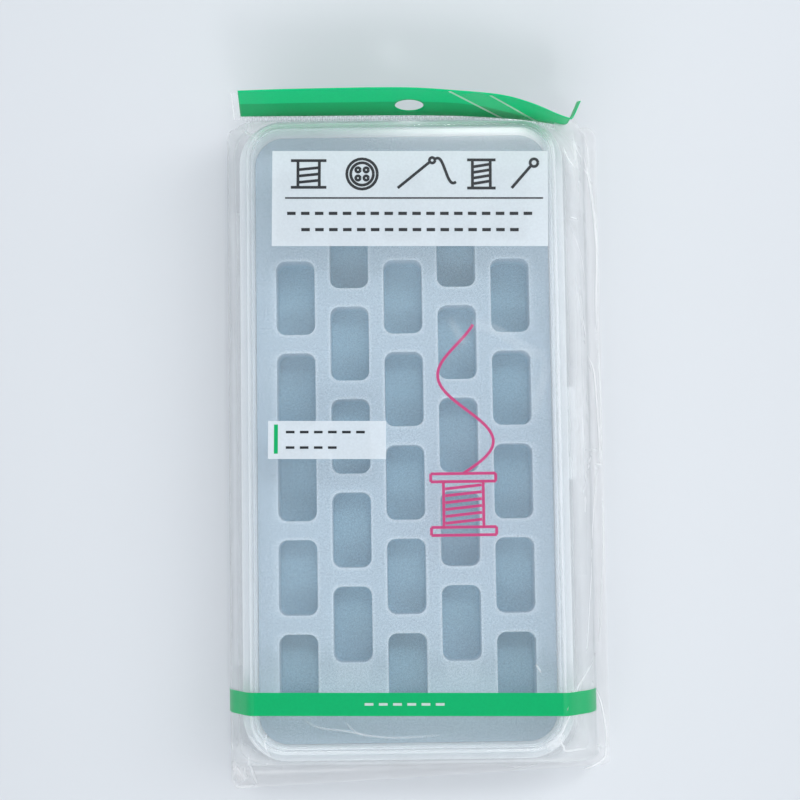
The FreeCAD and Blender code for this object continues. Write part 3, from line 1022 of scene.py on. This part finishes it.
class BOBBINBOX_OT_film(bpy.types.Operator):
    """Add the front and back film of the bag"""

    bl_idname = "bobbin_box.film"
    bl_label = "Bag film"

    def execute(self, context):
        film = clear_film()
        points, veil = film_surface()
        front = add_sheet("bag_film_front", [(points, True)], film, veil)
        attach(front, "bag")
        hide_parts("bag_front")
        gathers(front)
        # White strips along the film's folds, partly painted highlight, and wide faint ones that are painted
        # sheen and glare
        strips = [crease_and_sheen_strip(width, line) for width, _, *line in CREASES_AND_SHEEN]
        strength = np.concatenate([mark.ravel() * row[1] for (_, mark), row in zip(strips, CREASES_AND_SHEEN)])
        grids = [(strip, False) for strip, _ in strips]
        creases_and_sheen = add_sheet("film_creases_and_painted_sheen", grids, crease_and_sheen_film(), strength)
        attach(creases_and_sheen, "bag")
        gathers(creases_and_sheen)
        left, right, mouth, end, corner, _ = FILM_LEVELS[-1]
        path = rounded_path((left, mouth), (right, end), corner, 30, 60, 12)
        border = rings(path, corner, [(-4, BACK_HEIGHT), (0, BACK_HEIGHT)])
        flat = np.concatenate([spine(path, corner, BACK_HEIGHT), border])
        flat[..., 1] += mouth_skew(flat[..., 0], flat[..., 1])
        back = add_sheet("bag_film_back", [(flat, True)], film)
        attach(back, "bag")
        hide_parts("bag_back")
        return {"FINISHED"}


# Line of the header's foot and its lean, from one end to the other: x, y of the foot, degrees from level
HEADER_LINE = np.array(
    [
        (-46.0, 92.3, 84.0),
        (-29.0, 92.2, 82.8),
        (0.0, 92.0, 82.2),
        (16.0, 91.6, 84.2),
        (28.7, 90.8, 86.0),
        (37.3, 89.9, 90.5),
        (44.5, 88.8, 96.2),
        (47.6, 88.7, 99.0),
        (48.8, 90.2, 103.0),
        (51.1, 95.2, 104.0),
    ]
)
# The header's creases: their slope, where along it they end and over what length they fade, in mm
LEAN_SLOPE, LEAN_END, LEAN_FADE = 0.6, 49, 8
# How much the header narrows towards its upper edge, for each mm of height
HEADER_TAPER = 0.0012
# Place of the hang hole along the header, in mm
HOLE_X = 2.6
# Upper edge of the second layer: place along the header, height over the weld, in mm
LAYER_EDGE = np.array([(-46, 10.2), (16, 10.2), (24, 9.0), (31, 5.5), (40, 1.5), (51, 1.0)])
# The weld in mm: its ends, how far it goes below the bag's edge, depth of its ribs, how far it stands out
WELD_ENDS, WELD_BELOW, RIB_DEPTH, WELD_LIFT = (-45.5, 47.5), 2.0, 0.3, 0.1
# How far folds of film lie before the header, in mm
FOLD_LIFT = 0.3
# These folds, white strips that are partly the fold's own whitening and partly painted highlight: start and
# end, as place along the header and height, width, all in mm, and strength
HEADER_FOLDS = (
    ((14.0, 22.3), (31.5, 0.3), 0.9, 0.75),
    ((25.6, 21.6), (40.0, 2.0), 0.9, 0.75),
    ((19.8, 22.0), (35.8, 1.2), 7.0, 0.06),
    ((-46.9, 0.5), (-46.9, 22.3), 1.8, 0.3),
    ((-47.9, 0.5), (-47.9, 22.3), 0.4, 0.85),
)


def header_sheet(bag, u, v):
    """Flat place (u along, v up from the weld's lower edge) to its place in space: the foot follows a smooth
    line, and the strip leans by an angle that changes along slanted creases."""
    key_x, key_foot, key_lean = smooth_rows(HEADER_LINE, 12).T
    weld = bag.weld_height / MM
    drop = v - weld - bag.header_height / MM
    slanted = u + LEAN_SLOPE * drop * np.clip((LEAN_END - u) / LEAN_FADE, 0, 1)
    lean = np.radians(np.interp(slanted, key_x, key_lean))
    foot = np.interp(u, key_x, key_foot)
    x = u * (1 - HEADER_TAPER * v)
    y = foot + (v - weld) * np.cos(lean)
    z = WELD_FOOT + weld + (v - weld) * np.sin(lean)
    return np.stack([x, y, z], -1)


def header_surface(bag):
    """Flat strip as a plain grid on both sides of a square cell, in which rings run from the square's edge to
    the hang hole. With it, how far each point lies above the edge of the second layer."""
    weld = bag.weld_height / MM
    high = weld + bag.header_height / MM
    start, end = HEADER_LINE[0, 0], HEADER_LINE[-1, 0]
    hole = (HOLE_X, weld + bag.hole_rise / MM)
    half = (high - weld) / 2
    rows = np.linspace(weld, high, 25)
    flats = []
    for left, right, count in ((start, HOLE_X - half, 70), (HOLE_X + half, end, 140)):
        flats.append((np.meshgrid(np.linspace(left, right, count), rows), False))
    square = square_path(HOLE_X + half * np.linspace(-1, 1, len(rows)), rows)
    way = square - hole
    rim = hole + way / np.linalg.norm(way, axis=1, keepdims=True) * bag.hole / MM / 2
    flat = rim + np.linspace(0, 1, 9)[:, None, None] * (square - rim)
    flats.append(((flat[..., 0], flat[..., 1]), True))
    above = [(v - weld - np.interp(u, *LAYER_EDGE.T)).ravel() for (u, v), _ in flats]
    return [(header_sheet(bag, u, v), wrap) for (u, v), wrap in flats], np.concatenate(above)


def weld_surface(bag):
    """Strip under the header with upright ribs: a clipped sine along it pushes the strip out, and marks it
    white where it is pressed."""
    weld = bag.weld_height / MM
    u, v = np.meshgrid(np.linspace(*WELD_ENDS, 800), np.linspace(-WELD_BELOW, weld, 11))
    place = header_sheet(bag, u, v)
    wave = np.clip(0.5 + np.sin(2 * math.pi * u / (bag.weld_pitch / MM)), 0, 1)
    rib = wave * np.sin(math.pi * (v + WELD_BELOW) / (weld + WELD_BELOW)) ** 0.5
    place[..., 1] -= RIB_DEPTH * rib + WELD_LIFT
    return place, rib


def header_strip(bag, line, width):
    """Stroke of constant width a little before the header, along a line on the flat strip."""
    flat = ribbon(densify(line), width, 0.0)
    place = header_sheet(bag, flat[..., 0], flat[..., 1])
    place[..., 1] -= FOLD_LIFT
    return place


class BOBBINBOX_OT_header(bpy.types.Operator):
    """Add the green header with its hang hole, the weld under it and the film folded over its end"""

    bl_idname = "bobbin_box.header"
    bl_label = "Header and weld"

    def execute(self, context):
        bag = context.scene.bobbin_box.bag
        grids, above = header_surface(bag)
        header = add_sheet("bag_header_strip", grids, header_material(bag.single, bag.double), above)
        thick = header.modifiers.new("thickness", "SOLIDIFY")
        thick.thickness = 0.25 * MM
        thick.offset = 0.0
        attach(header, "bag")
        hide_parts("bag_header")
        place, ribs = weld_surface(bag)
        weld = add_sheet("bag_weld", [(place, False)], welded_film(), ribs)
        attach(weld, "bag")
        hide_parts("bag_seal")
        strips = [header_strip(bag, (start, stop), width) for start, stop, width, _ in HEADER_FOLDS]
        marks = [np.full(strip[..., 0].size, row[3]) for strip, row in zip(strips, HEADER_FOLDS)]
        grids = [(strip, False) for strip in strips]
        fold = add_sheet("header_folds", grids, crease_and_sheen_film(), np.concatenate(marks))
        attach(fold, "bag")
        return {"FINISHED"}


# Angle of the prints, which sit a little askew on the case
PRINT_TURN = math.radians(-0.82)
# Height of the white panels over the film, and of the band's stitches over the panels' level, in mm
PANEL_LIFT, BAND_STITCH_LIFT = 0.06, 0.12
# Rings of the film that the band goes down on each side, and how much further out it lies there, in mm
BAND_RINGS, BAND_SIDE_LIFT = 34, 0.4
# Rows of dark running stitches: left, right, y, stroke width, in mm
LABEL_STITCHES = (
    (-33.0, 38.8, 61.6, 0.9),
    (-29.0, 34.0, 57.0, 0.9),
    (-33.0, -8.0, 0.2, 0.7),
    (-33.0, -18.0, -4.1, 0.7),
)


def turned(x, y):
    """Place on the front film of a place on the print."""
    cos, sin = math.cos(PRINT_TURN), math.sin(PRINT_TURN)
    return x * cos - y * sin, x * sin + y * cos


def panel(x0, x1, y0, y1, height, count=(40, 16)):
    """Level rectangle on the top of the film, as a grid."""
    x, y = np.meshgrid(np.linspace(x0, x1, count[0]), np.linspace(y0, y1, count[1]))
    return raised(np.stack(turned(x, y), -1), height)


def band_surface(y0, y1, lift):
    """Strip of the front film across the case: the film's section at that place, pushed out a little."""
    outlines, _ = film_rings()
    along_x, along_y, turn = FILM_STEPS
    right = outlines[:BAND_RINGS, 0, [0, 2]]
    left = outlines[:BAND_RINGS, along_y + turn + along_x + turn, [0, 2]]
    section = np.concatenate([left[::-1], np.linspace(left[0], right[0], 40)[1:-1], right])
    push = np.interp(np.abs(section[:, :1]), (42, 46), (lift, lift + BAND_SIDE_LIFT))
    section = section + push * leftward(section)
    y = np.linspace(y0, y1, 7)[:, None]
    x, z = (np.broadcast_to(column, (len(y), len(section))) for column in section.T)
    return np.stack([x, y + x * math.tan(PRINT_TURN), z], -1)


def circle(x, y, radius, count=25):
    """Closed circle as a stroke."""
    angle = np.linspace(0, 2 * math.pi, count)
    return np.stack([x + radius * np.cos(angle), y + radius * np.sin(angle)], -1)


def notion_strokes(y):
    """Row of small line drawings: bobbin, button, needle with thread, spool and pin."""
    t = np.linspace(0, 1, 30)
    strokes = [[(-32, y + dy), (-22, y + dy)] for dy in (-3.8, 3.8)]
    strokes += [[(x, y - 3.8), (x, y + 3.8)] for x in (-30, -24)]
    strokes += [[(-30, y + dy), (-24, y + dy + 0.6)] for dy in (-2.4, -0.6, 1.2)]
    strokes += [circle(-12, y, 4.3), circle(-12, y, 3.2)]
    strokes += [circle(-12 + dx, y + dy, 0.65, 13) for dx in (-1.15, 1.15) for dy in (-1.15, 1.15)]
    strokes += [[(-2, y - 4), (7, y + 3.4)], circle(7.7, y + 3.9, 0.8, 13)]
    strokes.append(np.stack([8.4 + 6 * t, y + 4.2 - 6.5 * t + 1.6 * np.sin(6.3 * t)], -1))
    strokes += [[(17.5, y + dy), (25.5, y + dy)] for dy in (-4, 4)]
    strokes += [[(x, y - 4), (x, y + 4)] for x in (19, 24)]
    strokes += [[(19, y + dy), (24, y + dy + 0.8)] for dy in (-2.8, -1.2, 0.4, 2.0)]
    return strokes + [[(30, y - 4), (35.5, y + 2.4)], circle(36.3, y + 3.2, 1.1, 17)]


def stitches(x0, x1, y, dash=2.4, gap=1.5):
    """Row of running stitches."""
    return [[(x, y), (x + dash, y)] for x in np.arange(x0, x1 - dash + 0.1, dash + gap)]


def printed(strokes, width, height):
    """Strokes as level ribbons on the top of the film, askew like the panels."""
    return drawing([np.stack(turned(*densify(stroke, 0.3).T), -1) for stroke in strokes], width, height)


class BOBBINBOX_OT_prints(bpy.types.Operator):
    """Add the label panels, the band and the line drawings that are printed on the front film"""

    bl_idname = "bobbin_box.prints"
    bl_label = "Prints on the film"

    def execute(self, context):
        bag = context.scene.bobbin_box.bag
        height = FILM_TOP + PANEL_LIFT
        upper = height + INK_LIFT
        white = ink_material("flexo_ink_white", bag.white, roughness=0.35, coat=0.3, alpha=0.84)
        green = ink_material("flexo_ink_green", bag.green, roughness=0.3, coat=0.1)
        dark = ink_material("flexo_ink_dark", bag.ink, roughness=0.4, coat=0.3)
        panels = [
            (panel(-37.25, 40.15, 52.35, 79.35, height), False),
            (panel(-37.95, -5.2, -7.27, 3.3, height, (20, 8)), False),
        ]
        panels += printed(stitches(-11.0, 13.0, -74.5), 0.7, height + BAND_STITCH_LIFT)
        pieces = [(add_piece("label_panels", panels, white, closed=False), "film")]
        bands = [
            (band_surface(-77.7, -71.4, 0.1), False),
            (panel(-36.3, -35.2, -5.8, 2.3, upper, (3, 8)), False),
        ]
        pieces.append((add_sheet("green_band", bands, green), "header"))
        lines = [(panel(-33.6, 38.8, 65.75, 66.2, upper, (60, 2)), False)]
        lines += printed(notion_strokes(72.8), 0.8, upper)
        for left, right, y, width in LABEL_STITCHES:
            lines += printed(stitches(left, right, y), width, upper)
        pieces.append((add_piece("label_lines", lines, dark, closed=False), "film"))
        for piece, slot in pieces:
            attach(piece, "bag")
            gathers(piece)
        return {"FINISHED"}


# Stage

# Half the side of the floor and the size of its faint cloudiness, in mm
FLOOR_REACH, FLOOR_CLOUD = 2000, 400
# Lamps: name, kind, size in m, power in W, place and aim in m
LAMPS = (
    ("window_light", "AREA", 1.2, 9.5, (1.1, 0.5, 1.1), (0, 0, 0)),
    ("fill_light", "AREA", 1.2, 6.0, (-0.6, -1.1, 1.1), (0, 0, 0)),
    ("north_light", "AREA", 0.15, 1.5, (0.08, 0.4, 0.85), (0, 0, 0)),
    ("header_light", "SPOT", 0.3, 10.0, (0.15, -0.55, 0.75), (0, 0.105, 0.02)),
    ("mouth_light", "SPOT", 0.3, 6.0, (-0.1, -0.6, 0.75), (0, -0.1, 0)),
)
SPOT_ANGLE = math.radians(17)
# Camera: place in m, then how far it is tipped from straight down and turned about its own line of sight
CAMERA_PLACE = (-0.0012, -0.02679, 0.4885)
CAMERA_TIP, CAMERA_ROLL = math.radians(4.451), math.radians(-0.811)
CAMERA_SENSOR = 36.0


def surroundings(tint):
    """Even light from all round, a little weaker higher up, and dim straight above."""
    world = bpy.data.worlds.new("surroundings")
    world.use_nodes = True
    tree = world.node_tree
    tree.nodes.clear()
    way = add_node(tree, "ShaderNodeTexCoord").outputs["Generated"]
    rise = add_node(tree, "ShaderNodeSeparateXYZ", {"Vector": way}).outputs["Z"]
    dome = remap(tree, rise, 0.15, 0.7, 0.85, 0.74, "SMOOTHSTEP")
    above = remap(tree, rise, 0.935, 0.975, 1.0, 0.16, "SMOOTHSTEP")
    level = maths(tree, "MULTIPLY", dome, above)
    light = shader(tree, "Background", {"Color": opaque(tint), "Strength": level})
    add_node(tree, "ShaderNodeOutputWorld", {"Surface": light})
    return world


def add_lamp(name, kind, size, power, place, aim):
    """A lamp at a place, turned towards its aim."""
    lamp = bpy.data.lights.new(name, kind)
    lamp.energy = power
    if kind == "SPOT":
        lamp.shadow_soft_size = size / 2
        lamp.spot_size = SPOT_ANGLE
        lamp.spot_blend = 1.0
    else:
        lamp.shape = "SQUARE"
        lamp.size = size
    x, y, z = np.subtract(aim, place)
    turn = Matrix.Rotation(math.atan2(x, -y) + math.pi, 4, "Z")
    tip = Matrix.Rotation(math.atan2(math.hypot(x, y), -z), 4, "X")
    add_holder(name, lamp, Matrix.Translation(place) @ turn @ tip)


def add_holder(name, data, matrix):
    """The object that puts a lamp or a camera in its place."""
    holder = bpy.data.objects.new(name, data)
    holder.matrix_world = matrix
    bpy.context.scene.collection.objects.link(holder)
    return holder


class BOBBINBOX_OT_stage(bpy.types.Operator):
    """Add the table top, the soft light and the camera"""

    bl_idname = "bobbin_box.stage"
    bl_label = "Stage"

    def execute(self, context):
        scene = context.scene
        stage = scene.bobbin_box.stage
        scene.view_settings.view_transform = "Standard"
        scene.cycles.transparent_max_bounces = 32
        material, tree = new_material("table_top_pale")
        cloud = remap(tree, noise(tree, FLOOR_CLOUD, 1.0), *NOISE_RANGE, 0.97, 1.02)
        board = {"Base Color": scaled(tree, stage.floor, cloud), "Roughness": 0.7}
        add_node(tree, "ShaderNodeOutputMaterial", {"Surface": shader(tree, "BsdfPrincipled", board)})
        lines = np.linspace(-FLOOR_REACH, FLOOR_REACH, 21)
        table = raised(np.stack(np.meshgrid(lines, lines), -1), 0.0)
        floor = add_piece("floor", [(table, False)], material, closed=False)
        scene.world = surroundings(stage.sky)
        for row in LAMPS:
            add_lamp(*row)
        camera = bpy.data.cameras.new("camera")
        camera.lens = stage.lens / MM
        camera.sensor_width = CAMERA_SENSOR
        camera.clip_start = 0.01
        tip, roll = Matrix.Rotation(CAMERA_TIP, 4, "X"), Matrix.Rotation(CAMERA_ROLL, 4, "Z")
        scene.camera = add_holder("camera", camera, Matrix.Translation(CAMERA_PLACE) @ tip @ roll)
        return {"FINISHED"}


class BobbinBoxSettings(bpy.types.PropertyGroup):
    """All settings of the object."""

    case: PointerProperty(name="Case", description="Case", type=BobbinCaseSettings)
    foam: PointerProperty(name="Foam", description="Foam insert", type=BobbinFoamSettings)
    bag: PointerProperty(name="Bag", description="Header bag", type=BobbinBagSettings)
    stage: PointerProperty(name="Stage", description="Stage", type=BobbinStageSettings)


OPERATORS = (
    BOBBINBOX_OT_foam,
    BOBBINBOX_OT_tray,
    BOBBINBOX_OT_lid,
    BOBBINBOX_OT_hinge,
    BOBBINBOX_OT_film,
    BOBBINBOX_OT_header,
    BOBBINBOX_OT_prints,
    BOBBINBOX_OT_stage,
)


class BOBBINBOX_PT_sidebar(bpy.types.Panel):
    """Pieces of the bobbin box"""

    bl_idname = "BOBBINBOX_PT_sidebar"
    bl_label = "Bobbin box"
    bl_space_type = "VIEW_3D"
    bl_region_type = "UI"
    bl_category = "Bobbin box"

    def draw(self, context):
        settings = context.scene.bobbin_box
        for operator in OPERATORS:
            self.layout.operator(operator.bl_idname)
        for group in (settings.case, settings.foam, settings.bag, settings.stage):
            column = self.layout.column(align=True)
            for name in group.__annotations__:
                column.prop(group, name)


CLASSES = (
    BobbinCaseSettings,
    BobbinFoamSettings,
    BobbinBagSettings,
    BobbinStageSettings,
    BobbinBoxSettings,
    *OPERATORS,
    BOBBINBOX_PT_sidebar,
)


def register():
    for item in CLASSES:
        bpy.utils.register_class(item)
    bpy.types.Scene.bobbin_box = PointerProperty(type=BobbinBoxSettings)


def unregister():
    del bpy.types.Scene.bobbin_box
    for item in reversed(CLASSES):
        bpy.utils.unregister_class(item)


def main():
    register()
    for operator in OPERATORS:
        group, name = operator.bl_idname.split(".")
        getattr(getattr(bpy.ops, group), name)()


if __name__ == "__main__":
    main()
